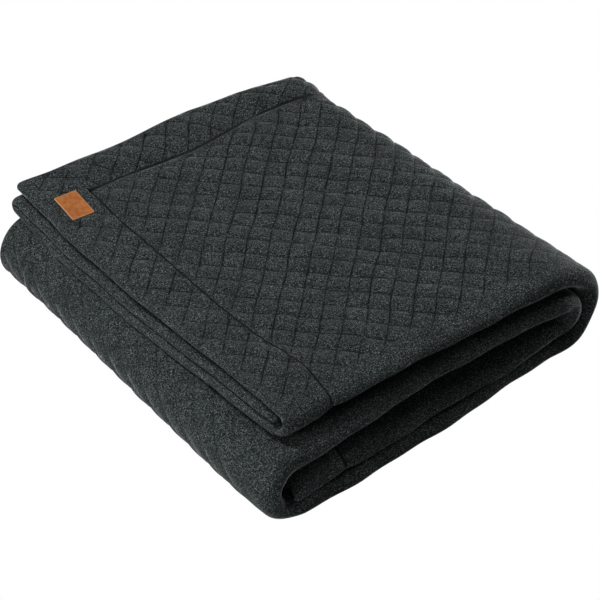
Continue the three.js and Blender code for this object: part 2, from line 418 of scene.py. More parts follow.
@dataclass
class QuiltedBlanket:
    """The padded cloth: folded in three, wound flat, puffed between its diamond stitches.

    Sizes are millimetres, apart from the flat size. A place is a distance along the winding, counted
    straight in plan on the top band. A pair that ends in rise is the start and the reach of a smooth step.
    """

    winding: Winding
    name: str = "padded_cloth"
    flat_size: Pair = (1.41, 1.80)
    centre: Pair = (1.885, 5.47)

    # Left ends of the layers, from the front to the back in even steps
    top_edge: Floats = (17.0, 10.0, 2.5, 0.0, 5.0)
    under_edge: Floats = (8.0, 1.0, -6.0, -8.5, -1.5)
    flap_edge: Floats = (12.5, 5.5, -1.5, -4.5, -1.0)
    edge_wave: Wave = Wave(0.6, 1 / 31, 1.0)
    corner_radius: float = 9.0
    front_waves: tuple[Wave, ...] = (Wave(0.9, 23.0), Wave(0.6, 9.7, phase=1.0))
    back_wave: Wave = Wave(0.8, 17.0, phase=2.0)
    unskewed_rise: Pair = (560.0, 300.0)

    # Seams of the hems
    left_seam: Floats = (72.0, 77.0, 66.0, 62.5, 61.5, 61.5, 59.5, 63.0, 64.0)
    usual_seam: float = 62.0
    back_seam: Floats = (200.0, 199.0, 194.0, 190.5, 194.0, 200.0, 197.0, 189.0)
    wound_hem: Pair = (38.0, 55.0)
    wound_hem_reach: float = 500.0
    wound_seam_ease: float = 40.0
    seam_overrun: float = 2.0
    no_seam: float = 60.0
    left_grooves: tuple[Groove, ...] = (Groove(1.3, 1.5), Groove(0.9, 6.0))
    back_needle: Groove = Groove(0.8, 2.4)
    back_hollow: Groove = Groove(3.2, 13.0)
    needle_at_turn: float = 0.3
    hollow_at_turn: float = 0.1
    far_groove: Groove = Groove(1.6, 1.8)
    left_seam_scale: float = 1.4
    back_seam_scale: float = 0.6
    hem_crown: float = 4.2
    crown_rise: Pair = (20.0, 60.0)

    # Quilting
    diamond: float = 32.5
    origin: Pair = (231.4, 10.3)
    quilt_depth: float = 3.0
    puff_power: float = 2.7
    light_pull: float = 0.85
    cells: int = 64
    cell_heights: Pair = (0.66, 1.0)
    quilt_levels: tuple[Level, ...] = (
        Level(1, -60, 1.0), Level(1, 0, 0.8), Level(1.7, 0, 0.6), Level(2, 0, 0.2), Level(3, -20, 0.2),
        Level(3, 30, 0.6), Level(4, 0, 0.6), Level(5, 0, 0.35), Level(7, 0, 0.3))
    visible_levels: tuple[Level, ...] = (
        Level(1, 0, 1.0), Level(2, 0, 0.9), Level(2, 60, 0.1), Level(7, -130, 0.1), Level(7, -90, 1.0))
    faint_sewing: float = 0.5
    hem_pull: float = 0.95
    panel_rise: Pair = (60.0, 12.0)
    back_panel_rise: Pair = (-198.0, 12.0)
    front_pull: float = 0.25
    front_rise: Pair = (-218.0, 50.0)
    corner_pull: float = 0.45
    corner_rise: Pair = (20.0, 130.0)
    corner_place: Pair = (20.0, -215.0)
    corner_squash: float = 0.8

    # Uneven lie of the cloth
    long_swell: Wave = Wave(0.7, 15.0, 26.0)
    short_swell: Wave = Wave(0.7, 24.0, -13.5)
    swell_bend: Wave = Wave(18.2, 31.0)
    sags: tuple[Wave, ...] = (Wave(0.25, 37.0, 61.0), Wave(0.2, 23.0, -45.0, 1.3))
    drifts_x: tuple[Wave, ...] = (Wave(0.7, 47.0, 19.0), Wave(0.5, 29.0, 8.3, 2.0))
    drifts_y: tuple[Wave, ...] = (Wave(0.7, 21.0, 53.0), Wave(0.5, 9.1, -33.0))
    face_inset: float = 0.5
    nose_length: float = 58.0
    nose_drops: Floats = (11.5, 5.0, 11.5, 12.5)
    nose_rests: Floats = (0.7, 0.0, 0.25, -0.5)
    turn_drop: float = 1.2
    turn_ease: float = 70.0
    tip_sink: float = 4.6
    tip_place: float = -6.0
    tip_ease: float = 12.0
    long_sink: float = 3.6
    long_sink_rise: Pair = (20.0, 90.0)
    top_sink: float = 0.2
    front_sink: float = 0.35
    label_press: float = 1.0
    label_half: Pair = (14.0, 22.5)
    label_ease: float = 9.0

    # Mesh lines across the winding
    fine_steps: int = 5
    edge_distances: Floats = (0.0, 0.4, 1.4, 3.2, 5.6)
    edge_swells: Floats = (0.22, 0.40, 0.60, 0.78, 0.90)
    hem_columns: int = 20
    first_hem_column: int = 3
    sewn_hem_column: int = 6
    hem_swell: Pair = (0.84, 0.03)
    beside_seam: float = 0.8
    seam_columns: int = 5
    sewn_at_seam: float = 0.3
    beside_far_seam: float = 1.3
    clear_of_far_seam: float = 2.5
    clear_of_end: float = 1.0
    first_column: int = -46
    pressed_step: float = 2.5
    hidden_step: float = 5.0

    # Mesh lines along the winding
    rim_distances: Floats = (0.35, 1.2, 2.5, 4.5)
    hem_rows: int = 16
    first_hem_row: int = 2
    hem_lattice: float = 11.2
    back_seam_rows: Floats = (1.5, 0.0, -1.5, -3.2)
    seam_rows: int = 4
    first_row: int = 52
    last_row: int = -62
    front_rows: int = 7
    front_lattice: float = 1.3
    fold_lattice: float = 2.6
    panel_span: Pair = (-210.0, 190.0)
    panel_ease: float = 250.0
    inside_rows: int = 15
    front_fold_rows: tuple[int, int] = (15, 8)
    back_fold_rows: tuple[int, int] = (9, 5)
    top_back_span: Pair = (0.015, 0.98)
    tip_share: float = 0.994
    tip_side: float = 0.7
    settling_rounds: int = 3
    equal_relief: float = 1e-6

    def __post_init__(self) -> None:
        """Work out the derived sizes, the mesh lines and where their points lie."""
        self.half = self.diamond / 2
        self.fine_step = self.half / self.fine_steps
        self.section = FoldedSection(self.winding.total)
        self.top_run = TOP_BAND.x[1] - TOP_BAND.x[0]
        self.top_length = self.winding.limits[1]
        self.knots = self.winding.limits - self.top_length + self.top_run
        self.far_seam = self.knots[-1] - self.section.hem_width
        self.columns = self._column_lines()
        face = self._face_lines()
        self.face_count = len(face)
        self.rows = face + self._rim_and_back_lines()
        self.at, self.middle = self._grid()
        outer = self._of_rows("side") > 0
        self.face = self._of_rows("on_face") & outer
        self.quilted = self.face | (self._of_rows("stretch") == Stretch.FRONT_FOLD) & outer
        self.sewn = np.where(self.face, self._of_columns("stitch") * self._of_rows("stitch"), 0.0)
        across, up = (self.at.place - self.origin[0]) / self.half, self._of_rows("lattice")
        self.lines = (across + up) / 2, (across - up) / 2
        self.visible = self._levels(self.visible_levels)
        self.left, self.back, self.far = self._seam_distances()

    def _of_columns(self, name: str) -> Array:
        """Values of a field of the lines across the winding, as a column."""
        return np.array([[getattr(line, name)] for line in self.columns])

    def _of_rows(self, name: str) -> Array:
        """Values of a field of the lines along the winding, as a row."""
        return np.array([[getattr(row, name) for row in self.rows]])

    def _levels(self, levels: Sequence[Level]) -> Array:
        """Shares at the points' places, between levels at the winding's knots."""
        places = [np.interp(level.knot, range(len(self.knots)), self.knots) + level.shift for level in levels]
        return np.interp(self.at.place, places, [level.share for level in levels])

    def _waves(self, waves: Sequence[Wave]) -> Array:
        """Sum of some waves over the cloth."""
        return sum(wave.at(self.at.place, self.middle.y) for wave in waves)

    def _column_lines(self) -> list[ColumnLine]:
        """Lines across the winding, fine where the quilting or a turn shows.

        Returns:
            The lines, in order.
        """
        rims = list(zip(self.edge_distances, self.edge_swells))
        lines = [ColumnLine(1.0, 0.0, distance, swell, 0.0) for distance, swell in rims]
        lines += [ColumnLine(0.0, 0.0, self.knots[-1] - distance, swell, 0.0) for distance, swell in rims]
        for step in range(self.first_hem_column, self.hem_columns):
            share = step / self.hem_columns
            swell = min(1.0, self.hem_swell[0] + self.hem_swell[1] * step)
            lines.append(ColumnLine(1.0 - share, share, 0.0, swell, min(1.0, step / self.sewn_hem_column)))
        first = self.origin[0] + self.first_column * self.fine_step
        for side in (-1.0, 0.0, 1.0):
            lines.append(ColumnLine(0.0, 1.0, side * self.beside_seam, stitch=0.0))
            lines.append(ColumnLine(0.0, 0.0, self.far_seam + side * self.beside_far_seam))
        for step in range(1, self.seam_columns):
            share = step / self.seam_columns
            stitch = min(1.0, self.sewn_at_seam + share)
            lines.append(ColumnLine(0.0, 1.0 - share, share * first, stitch=stitch))
        lines += [ColumnLine(0.0, 0.0, place) for place in self._winding_places(first)]
        return sorted(lines, key=lambda line: line.fixed + line.seam * self.usual_seam)

    def _winding_places(self, first: float) -> list[float]:
        """Places of the lines from the first panel column to the wound end.

        Args:
            first: Place of the first panel column.

        Returns:
            The places, in zones of their own step.
        """
        _, _, bottom_start, bottom_end, upper_start, _, lower_start, end = self.knots
        zones = (
            (bottom_start + self.half, 1.0),
            (bottom_end - self.half, self.pressed_step),
            (upper_start + self.half, 1.0),
            (lower_start, self.pressed_step),
            (end - self.edge_distances[-1] - self.clear_of_end, self.hidden_step),
        )
        places = []
        place = first
        for limit, step in zones:
            while place < limit:
                if abs(place - self.far_seam) > self.clear_of_far_seam:
                    places.append(place)
                place += step * self.fine_step
        return places

    def _face_lines(self) -> list[RowLine]:
        """Lines on the cloth's outer side, from the back edge round both folds to the end of the flap.

        Returns:
            The lines, in order.
        """
        edge_lattice = self.hem_lattice + self.hem_rows / self.fine_steps
        rows = [self._face_line(edge=1.0, offset=-distance, side=self._rim_side(distance),
                                lattice=edge_lattice - distance / self.half)
                for distance in self.rim_distances]
        for step in range(self.first_hem_row, self.hem_rows):
            share = step / self.hem_rows
            rows.append(self._face_line(edge=1.0 - share, seam=share, stitch=1.0,
                                        lattice=edge_lattice - step / self.fine_steps))
        rows += [self._face_line(seam=1.0, offset=offset, lattice=self.hem_lattice)
                 for offset in self.back_seam_rows]
        first, last = (self.origin[1] + row * self.fine_step for row in (self.first_row, self.last_row))
        for step in range(1, self.seam_rows):
            share = step / self.seam_rows
            rows.append(self._face_line(
                seam=1.0 - share, panel=share, offset=self.back_seam_rows[-1] * (1.0 - share), panel_y=first,
                lattice=mix(self.hem_lattice, self.first_row / self.fine_steps, share),
                stitch=min(1.0, self.sewn_at_seam + share)))
        for step in range(self.first_row, self.last_row - 1, -1):
            rows.append(self._face_line(panel=1.0, panel_y=self.origin[1] + step * self.fine_step,
                                        lattice=step / self.fine_steps, stitch=1.0))
        lattice = self.last_row / self.fine_steps
        for step in range(1, self.front_rows):
            share = step / self.front_rows
            rows.append(self._face_line(panel=1.0 - share, fold=share, panel_y=last, stitch=1.0 - share,
                                        lattice=lattice - share * self.front_lattice))
        lattice -= self.front_lattice
        for share in np.linspace(0.0, 1.0, self.front_fold_rows[0]):
            rows.append(RowLine(Stretch.FRONT_FOLD, share, lattice=lattice - self.fold_lattice * share))
        return rows + self._inner_lines(self.back_fold_rows[0], 1.0)

    @staticmethod
    def _even_lines(stretch: Stretch, count: int, side: float) -> list[RowLine]:
        """Lines at even shares of a stretch, from its start to its end."""
        return [RowLine(stretch, share, side) for share in np.linspace(0.0, 1.0, count)]

    def _inner_lines(self, fold_rows: int, side: float) -> list[RowLine]:
        """Lines of the under layer, the back fold and the flap on one side of the cloth.

        Args:
            fold_rows: How many lines go round the back fold.
            side: The side of the cloth.

        Returns:
            The lines, in order.
        """
        under, flap = (self._even_lines(layer, self.inside_rows, side)[1:-1]
                       for layer in (Stretch.UNDER, Stretch.FLAP))
        return under + self._even_lines(Stretch.BACK_FOLD, fold_rows, side) + flap

    def _rim_and_back_lines(self) -> list[RowLine]:
        """Lines that close the loop: the flap's rim, the cloth's inner side and the top layer's rim.

        Returns:
            The lines, in order.
        """
        tip = [RowLine(Stretch.FLAP, self.tip_share, self.tip_side), RowLine(Stretch.FLAP, 1.0, 0.0),
               RowLine(Stretch.FLAP, self.tip_share, -self.tip_side)]
        start, reach = self.top_back_span
        top = np.linspace(0.0, 1.0, self.inside_rows)[:-1] * reach + start
        back = [RowLine(Stretch.TOP, share, -1.0) for share in top]
        back += self._even_lines(Stretch.FRONT_FOLD, self.front_fold_rows[1], -1.0)
        back += self._inner_lines(self.back_fold_rows[1], -1.0)
        rim = [self._face_line(edge=1.0, offset=-distance, side=-self._rim_side(distance))
               for distance in self.rim_distances[-2::-1]]
        return tip + back[::-1] + rim + [self._face_line(edge=1.0, side=0.0)]

    @staticmethod
    def _face_line(**values: Any) -> RowLine:
        """Line on the top layer's face."""
        return RowLine(Stretch.TOP, on_face=True, **values)

    def _rim_side(self, distance: float) -> float:
        """Share of half thickness at a distance from a rounded rim."""
        return math.sqrt(max(0.0, 1.0 - (1.0 - distance / self.rim_distances[-1]) ** 2))

    def _grid(self) -> tuple[Stations, MiddleLine]:
        """Work out where every point lies, settling its share of the band in a few rounds.

        Returns:
            The points on the winding, and the cloth's middle there.
        """
        edge, seam, fixed = (self._of_columns(name)[:, 0] for name in ("edge", "seam", "fixed"))
        found = []
        for row in self.rows:
            share = np.full(len(self.columns), 0.5)
            for _ in range(self.settling_rounds):
                place = edge * self._left_edge(row, share) + seam * along(self.left_seam, share) + fixed
                length = np.clip(self._length(place, share), 0.0, self.winding.total)
                path = self.winding.at(length)
                front = path[:, Winding.FRONT_Y] + sum(wave.at(length) for wave in self.front_waves)
                at = Stations(place, length, front, path[:, Winding.BACK_Y] + self.back_wave.at(length))
                middle = self.section.line(row, at)
                if row.on_face:
                    middle = self.section.top(at, self._face_y(row, at))
                share = at.share(middle.y)
            found.append((*at, *middle))
        arrays = np.array(found).transpose(1, 2, 0)
        return Stations(*arrays[:len(at)]), MiddleLine(*arrays[len(at):])

    def _length(self, place: Array, share: Array) -> Array:
        """Length along the winding of a place, with the top band's skew undone.

        Args:
            place: Places, which are straight in plan on the top band.
            share: Share of the way from the front fold to the back edge.

        Returns:
            Lengths along the winding.
        """
        skew = -mix(*TOP_BAND.skew, np.clip(place / self.top_run, 0.0, 1.0))
        undone = place + skew * share * (1.0 - rise(place, *self.unskewed_rise))
        scaled = undone * (self.top_length / self.top_run)
        return np.where(undone < self.top_run, scaled, undone - self.top_run + self.top_length)

    def _left_edge(self, row: RowLine, share: Array) -> Array:
        """Place of the left edge of a row's layer.

        Args:
            row: The row.
            share: Share of the way from the front fold to the back edge.

        Returns:
            Places of the edge.
        """
        top, under, flap = (along(edge, share) for edge in (self.top_edge, self.under_edge, self.flap_edge))
        from_corner = (1.0 - share) * (TOP_BAND.back[0] - TOP_BAND.front[0])
        turned = np.clip(1.0 - from_corner / self.corner_radius, 0.0, 1.0)
        top = top + self.corner_radius * (1.0 - np.sqrt(1.0 - turned ** 2))
        edges = {Stretch.TOP: top, Stretch.FRONT_FOLD: mix(top, under, row.share), Stretch.UNDER: under,
                 Stretch.BACK_FOLD: mix(under, flap, row.share), Stretch.FLAP: flap}
        return edges[row.stretch] + self.edge_wave.at(share, row.share)

    def _back_seam_y(self, at: Stations) -> Array:
        """Y of the back hem's seam.

        Args:
            at: Points on the winding.

        Returns:
            Y at each point.
        """
        on_top = along(self.back_seam, (at.place - self.usual_seam) / (self.top_run - self.usual_seam))
        past_top = at.place - self.top_run
        wound = at.back - mix(*self.wound_hem, np.clip(past_top / self.wound_hem_reach, 0.0, 1.0))
        return mix(on_top, wound, rise(past_top, 0.0, self.wound_seam_ease))

    def _face_y(self, row: RowLine, at: Stations) -> Array:
        """Y of a row on the top layer's face.

        Args:
            row: The row.
            at: Points on the winding.

        Returns:
            Y at each point.
        """
        fold, seam = self.section.fold(at), self._back_seam_y(at)
        low, high = self.panel_span
        shared = mix(fold, seam, (row.panel_y - low) / (high - low))
        panel = mix(row.panel_y, shared, rise(at.place, self.top_run, self.panel_ease))
        return row.edge * at.back + row.seam * seam + row.panel * panel + row.fold * fold + row.offset

    def _seam_distances(self) -> tuple[Array, Array, Array]:
        """Measure from the seams, which end where two hems meet.

        Returns:
            Distances of the points from the left, the back and the far seam.
        """
        place, y = self.at.place, self.middle.y
        left_line, back_line = along(self.left_seam, self.at.share(y)), self._back_seam_y(self.at)
        left = np.where(y > back_line + self.seam_overrun, self.no_seam, np.abs(place - left_line))
        back = np.where(place < left_line - self.seam_overrun, self.no_seam, np.abs(y - back_line))
        return left, back, np.abs(place - self.far_seam)

    def _puff(self) -> Array:
        """Height of the padding between the stitches.

        Returns:
            Heights from 0 on a stitch line to 1 in a diamond.
        """
        cells = np.random.default_rng(SEED).uniform(*self.cell_heights, (self.cells, self.cells))
        height = cells[tuple(np.floor(line).astype(int) % self.cells for line in self.lines)]
        for line, pull in zip(self.lines, (self.light_pull, 1.0)):
            distance = np.abs(line - np.round(line))
            height = height * (1.0 - pull * (1.0 - 2.0 * distance) ** self.puff_power)
        return height

    def _quilt_strength(self) -> Array:
        """How much of the quilting's depth shows.

        Returns:
            Shares of the depth.
        """
        place, y = self.at.place, self.middle.y
        hem = rise(place, *self.panel_rise) * rise(-y, *self.back_panel_rise)
        on_hem = np.where(place < self.top_run, mix(self.hem_pull, 1.0, hem), 1.0)
        front = mix(self.front_pull, 1.0, rise(y, *self.front_rise))
        past_top, corner_y = self.corner_place
        corner = np.hypot(place - self.top_run - past_top, (y - corner_y) * self.corner_squash)
        at_corner = mix(self.corner_pull, 1.0, rise(corner, *self.corner_rise))
        return self._levels(self.quilt_levels) * on_hem * front * at_corner

    def _clear_of_label(self) -> Array:
        """Measure from the label, which presses the cloth flat.

        Returns:
            Shares of the relief that is left.
        """
        middle = label_middle()
        beside = np.abs(self.at.place - (middle.x + self.centre[0] - TOP_BAND.x[0])) - self.label_half[0]
        beyond = np.abs(self.middle.y - (middle.y + self.centre[1])) - self.label_half[1]
        return rise(np.maximum(beside, beyond), 0.0, self.label_ease)

    def _relief(self) -> Array:
        """Work out the quilting, the seams' grooves, the padded hem and the swells.

        Returns:
            Depths of the cloth's outer side below its plain thickness.
        """
        place, y = self.at.place, self.middle.y
        relief = self.quilt_depth * self._quilt_strength() * self.sewn * (1.0 - self._puff())
        relief += self.quilted * sum(groove.at(self.left) for groove in self.left_grooves)
        turned = rise(place, self.top_run - self.turn_ease, self.turn_ease)
        needle = self.back_needle.at(self.back) * mix(1.0, self.needle_at_turn, turned)
        hollow = self.back_hollow.at(self.back) * mix(1.0, self.hollow_at_turn, turned)
        relief += self.face * self.visible * (needle + hollow)
        # A parabola over the width of the hem, which is 1 half-way
        crown = 4.0 * self._of_rows("edge") * self._of_rows("seam")
        relief -= self.hem_crown * crown * self.face * self.visible * rise(place, *self.crown_rise)
        relief += self.quilted * self.far_groove.at(self.far)
        swells = self.long_swell.at(place, y + self.swell_bend.at(y)) + self.short_swell.at(place, y)
        relief += swells * self.sewn * (1.0 - rise(place, self.top_run, self.turn_ease))
        return np.where(self.face, mix(self.label_press, relief, self._clear_of_label()), relief)

    def _points(self, relief: Array) -> Array:
        """Lay the cloth's points out on the winding.

        Args:
            relief: Depth of its outer side.

        Returns:
            Points in the part's frame, in millimetres.
        """
        middle = self.middle
        out = middle.half * self._of_rows("side") * self._of_columns("swell") - relief
        y = middle.y + middle.normal_y * out + self.sewn * self._waves(self.drifts_y)
        depth = self._settled(y, middle.depth + middle.normal_depth * out)
        depth += self.face_inset + self._waves(self.sags)
        points = self.winding.place(self.at.length + self.sewn * self._waves(self.drifts_x), y, depth)
        points[..., 0:2] -= self.centre
        points[..., 2] = np.maximum(points[..., 2], 0.0)
        return points

    def _settled(self, y: Array, depth: Array) -> Array:
        """Press each band down towards its front fold, and the left ends on to the roll below them.

        Args:
            y: Places along the band.
            depth: Depths under the outer face.

        Returns:
            The depths with the cloth lowered.
        """
        at = self.at
        whole = self.section.layers(at, at.front).whole
        near = np.clip((at.front + self.nose_length - y) / self.nose_length, 0.0, 1.0)
        resting = whole * np.interp(at.place, self.knots, np.repeat(self.nose_rests, 2))
        stations, drops = [], []
        for start, end, drop in zip(self.knots[0::2], self.knots[1::2], self.nose_drops):
            stations += [start, start + self.turn_ease, end - self.turn_ease, end]
            drops += [self.turn_drop, drop, drop, self.turn_drop]
        drop = np.interp(at.place, stations[1:-1], drops[1:-1]) * near ** 2
        sunk = self.tip_sink * np.exp(np.minimum(self.tip_place - at.place, 0.0) / self.tip_ease)
        sunk += self.long_sink * (1.0 - rise(at.place, *self.long_sink_rise))
        sunk *= np.array([self._sinking(row) for row in self.rows])
        sunk *= mix(self.front_sink, 1.0, smooth(2.0 * at.share(y)))
        return resting + (depth - resting) * (1.0 - drop / whole) + sunk

    def _sinking(self, row: RowLine) -> float:
        """Share by which a row sinks with the left ends of the layers."""
        shares = {Stretch.TOP: 0.0, Stretch.FRONT_FOLD: row.share}
        return mix(self.top_sink, 1.0, shares.get(row.stretch, 1.0))

    def build(self) -> bpy.types.Object:
        """Make the cloth's closed mesh with its coordinates for the finish.

        Returns:
            The blanket's object.
        """
        relief = self._relief()
        points = self._points(relief).reshape(-1, 3) * MM
        mesh = bpy.data.meshes.new(self.name)
        mesh.from_pydata(points.tolist(), [], self._triangles(relief).tolist())
        mark_points(mesh, "cloth", self.at.place * MM)
        mark_points(mesh, "quilt", *self.lines, self.sewn * mix(self.faint_sewing, 1.0, self.visible))
        scaled = np.minimum(self.left_seam_scale * self.left, self.back_seam_scale * self.back)
        run = np.where(self.left < self.back, self.middle.y, self.at.place)
        mark_points(mesh, "seam", np.minimum(scaled, self.far) * MM, run * MM, self.quilted * self.visible)
        mesh.shade_smooth()
        mesh.validate()
        blanket = bpy.data.objects.new(self.name, mesh)
        bpy.context.scene.collection.objects.link(blanket)
        return blanket

    @staticmethod
    def dress(cloth: bpy.types.Object) -> None:
        """Give the cloth its finish and its place in the frame.

        Args:
            cloth: The blanket's object.
        """
        cloth.data.materials.append(MelangeJersey().material())
        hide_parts(BLANKET_NODE)
        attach(cloth, BODY)

    def _triangles(self, relief: Array) -> Array:
        """Triangles of the closed loop along the winding, split along the stitches, with both end caps.

        Args:
            relief: Depth of the cloth's outer side.

        Returns:
            Rows of three point numbers.
        """
        number = np.arange(relief.size).reshape(relief.shape)
        turned = np.roll(number, -1, axis=1)
        a, b, c, d = number[:-1], turned[:-1], number[1:], turned[1:]
        beside = np.roll(relief, -1, axis=1)
        forward = relief[:-1] + beside[1:]
        backward = beside[:-1] + relief[1:]
        alike = np.isclose(forward, backward, rtol=0.0, atol=self.equal_relief)
        along_stitch = ((forward > backward) & ~alike)[..., None]
        first = np.where(along_stitch, np.stack([a, b, d], -1), np.stack([a, b, c], -1))
        second = np.where(along_stitch, np.stack([a, d, c], -1), np.stack([b, d, c], -1))
        path = np.stack([self.middle.y, self.middle.depth], -1)
        start, end = (self._cap(number[station], path[station]) for station in (0, -1))
        return np.concatenate([first.reshape(-1, 3), second.reshape(-1, 3), start, end[:, ::-1]])

    def _cap(self, loop: Array, path: Array) -> Array:
        """Close one end of the cloth by a strip between its face and its back.

        Args:
            loop: Point numbers of the end's loop.
            path: Y and depth of the cloth's middle at the same points.

        Returns:
            Triangles of the strip.
        """
        sides = []
        for order in (slice(None, self.face_count), slice(None, self.face_count - 1, -1)):
            steps = np.linalg.norm(np.diff(path[order], axis=0), axis=1)
            sides.append((loop[order], np.concatenate([[0.0], np.cumsum(steps)])))
        (face, face_run), (other, other_run) = sides
        triangles = []
        i = j = 0
        while i + 1 < len(face) or j + 1 < len(other):
            if j + 1 == len(other) or (i + 1 < len(face) and face_run[i + 1] <= other_run[j + 1]):
                triangles.append((face[i], other[j], face[i + 1]))
                i += 1
            else:
                triangles.append((face[i], other[j], other[j + 1]))
                j += 1
        return np.array(triangles)


class Shade:
    """A socket of a node tree whose operators add Math nodes."""

    def __init__(self, board: "NodeBoard", socket: bpy.types.NodeSocket) -> None:
        """Wrap a socket of a board."""
        self.board = board
        self.socket = socket

    def _math(self, operation: str, *values: Any) -> "Shade":
        """Math node on some values."""
        return self.board.node("ShaderNodeMath", {"operation": operation}, dict(enumerate(values)))

    def __add__(self, other: Any) -> "Shade":
        """Sum."""
        return self._math("ADD", self, other)

    __radd__ = __add__

    def __sub__(self, other: Any) -> "Shade":
        """Difference."""
        return self._math("SUBTRACT", self, other)

    def __rsub__(self, other: Any) -> "Shade":
        """Difference from a number."""
        return self._math("SUBTRACT", other, self)

    def __mul__(self, other: Any) -> "Shade":
        """Product."""
        return self._math("MULTIPLY", self, other)

    __rmul__ = __mul__

    def apart(self) -> "Shade":
        """Distance from the nearest whole number."""
        return (self._math("FRACT", self + 0.5) - 0.5).size()

    def wave(self, pitch: float) -> "Shade":
        """Sine of this length over a pitch, from 0 to 1."""
        return self._math("SINE", self * (2 * math.pi / pitch)) * 0.5 + 0.5

    def size(self) -> "Shade":
        """Value without its sign."""
        return self._math("ABSOLUTE", self)

    def largest(self, other: Any) -> "Shade":
        """Larger of two values."""
        return self._math("MAXIMUM", self, other)

    def smallest(self, other: Any) -> "Shade":
        """Smaller of two values."""
        return self._math("MINIMUM", self, other)

    def step(self, low: float, high: float) -> "Shade":
        """Smooth step that falls from 1 at low to 0 at high."""
        inputs = {"Value": self, "From Min": low, "From Max": high, "To Min": 1.0, "To Max": 0.0}
        return self.board.node("ShaderNodeMapRange", {"interpolation_type": "SMOOTHSTEP"}, inputs)


class NodeBoard:
    """Node tree of one material. The numbers are sockets of a Mix node that share one name."""

    MIX_FIRST, MIX_SECOND, MIX_COLOUR = 6, 7, 2

    def __init__(self, name: str) -> None:
        """Start a material.

        Args:
            name: Name of the material.
        """
        self.material = bpy.data.materials.new(name)
        self.material.use_nodes = True
        self.tree = self.material.node_tree
        self.shader = self.tree.nodes["Principled BSDF"]

    def node(self, kind: str, settings: dict[str, Any] | None = None,
             inputs: dict[Any, Any] | None = None, output: int | str = 0) -> Shade:
        """Add a node.

        Args:
            kind: The node's type.
            settings: Its properties, or the stops of a colour ramp.
            inputs: Values or links of its sockets, by name or number.
            output: The socket that is returned.

        Returns:
            The wrapped output.
        """
        node = self.tree.nodes.new(kind)
        for name, value in (settings or {}).items():
            if name == "stops":
                self._stops(node.color_ramp, value)
            else:
                setattr(node, name, value)
        for key, value in (inputs or {}).items():
            self.feed(node.inputs[key], value)
        return Shade(self, node.outputs[output])

    @staticmethod
    def _stops(ramp: bpy.types.ColorRamp, stops: Sequence[tuple[float, Colour]]) -> None:
        """Set a ramp's stops.

        Args:
            ramp: The ramp.
            stops: Places and colours.
        """
        while len(ramp.elements) < len(stops):
            ramp.elements.new(1.0)
        for element, (position, colour) in zip(ramp.elements, stops):
            element.position = position
            element.color = (*colour, 1.0)

    def feed(self, socket: bpy.types.NodeSocket, value: Any) -> None:
        """Link a socket to a wrapped one, or set its value.

        Args:
            socket: The socket.
            value: A wrapped socket, a number, a vector or a colour.
        """
        if isinstance(value, Shade):
            self.tree.links.new(value.socket, socket)
        elif socket.type == "RGBA":
            socket.default_value = (*value, 1.0)
        else:
            socket.default_value = value

    def set(self, **values: Any) -> None:
        """Feed the shader's own sockets, named with underscores for spaces."""
        for name, value in values.items():
            self.feed(self.shader.inputs[name.replace("_", " ")], value)

    def mark(self, name: str) -> Shade:
        """Vector of a point attribute."""
        return self.node("ShaderNodeAttribute", {"attribute_name": name}, output="Vector")

    def parts(self, vector: Shade) -> list[Shade]:
        """The three parts of a vector."""
        first = self.node("ShaderNodeSeparateXYZ", None, {0: vector})
        return [Shade(self, socket) for socket in first.socket.node.outputs]

    def scaled(self, vector: Shade, scale: Triple) -> Shade:
        """Vector times a scale."""
        return self.node("ShaderNodeVectorMath", {"operation": "MULTIPLY"}, {0: vector, 1: scale})

    def noise(self, vector: Shade, scale: float = 1.0, detail: float = 1.0, roughness: float = 0.5) -> Shade:
        """Noise value on a vector."""
        inputs = {"Vector": vector, "Scale": scale, "Detail": detail, "Roughness": roughness}
        return self.node("ShaderNodeTexNoise", None, inputs)

    def blend(self, share: Any, first: Any, second: Any) -> Shade:
        """Colour between two colours."""
        inputs = {0: share, self.MIX_FIRST: first, self.MIX_SECOND: second}
        return self.node("ShaderNodeMix", {"data_type": "RGBA"}, inputs, self.MIX_COLOUR)

    def bump(self, height: Shade, distance: float, strength: float) -> Shade:
        """Normal from a height."""
        inputs = {"Strength": strength, "Distance": distance, "Height": height}
        return self.node("ShaderNodeBump", None, inputs)


@dataclass(frozen=True)
class Patches:
    """Soft patches of noise: their scale, the noise values they fade between, and their share over a rest."""

    scale: float
    fade: Pair
    share: float = 1.0
    rest: float = 0.0
    detail: float = 1.0
    roughness: float = 0.5

    def on(self, board: NodeBoard, vector: Shade) -> Shade:
        """Value of the patches on a vector."""
        patches = board.noise(vector, self.scale, self.detail, self.roughness).step(*self.fade)
        return patches * self.share + self.rest


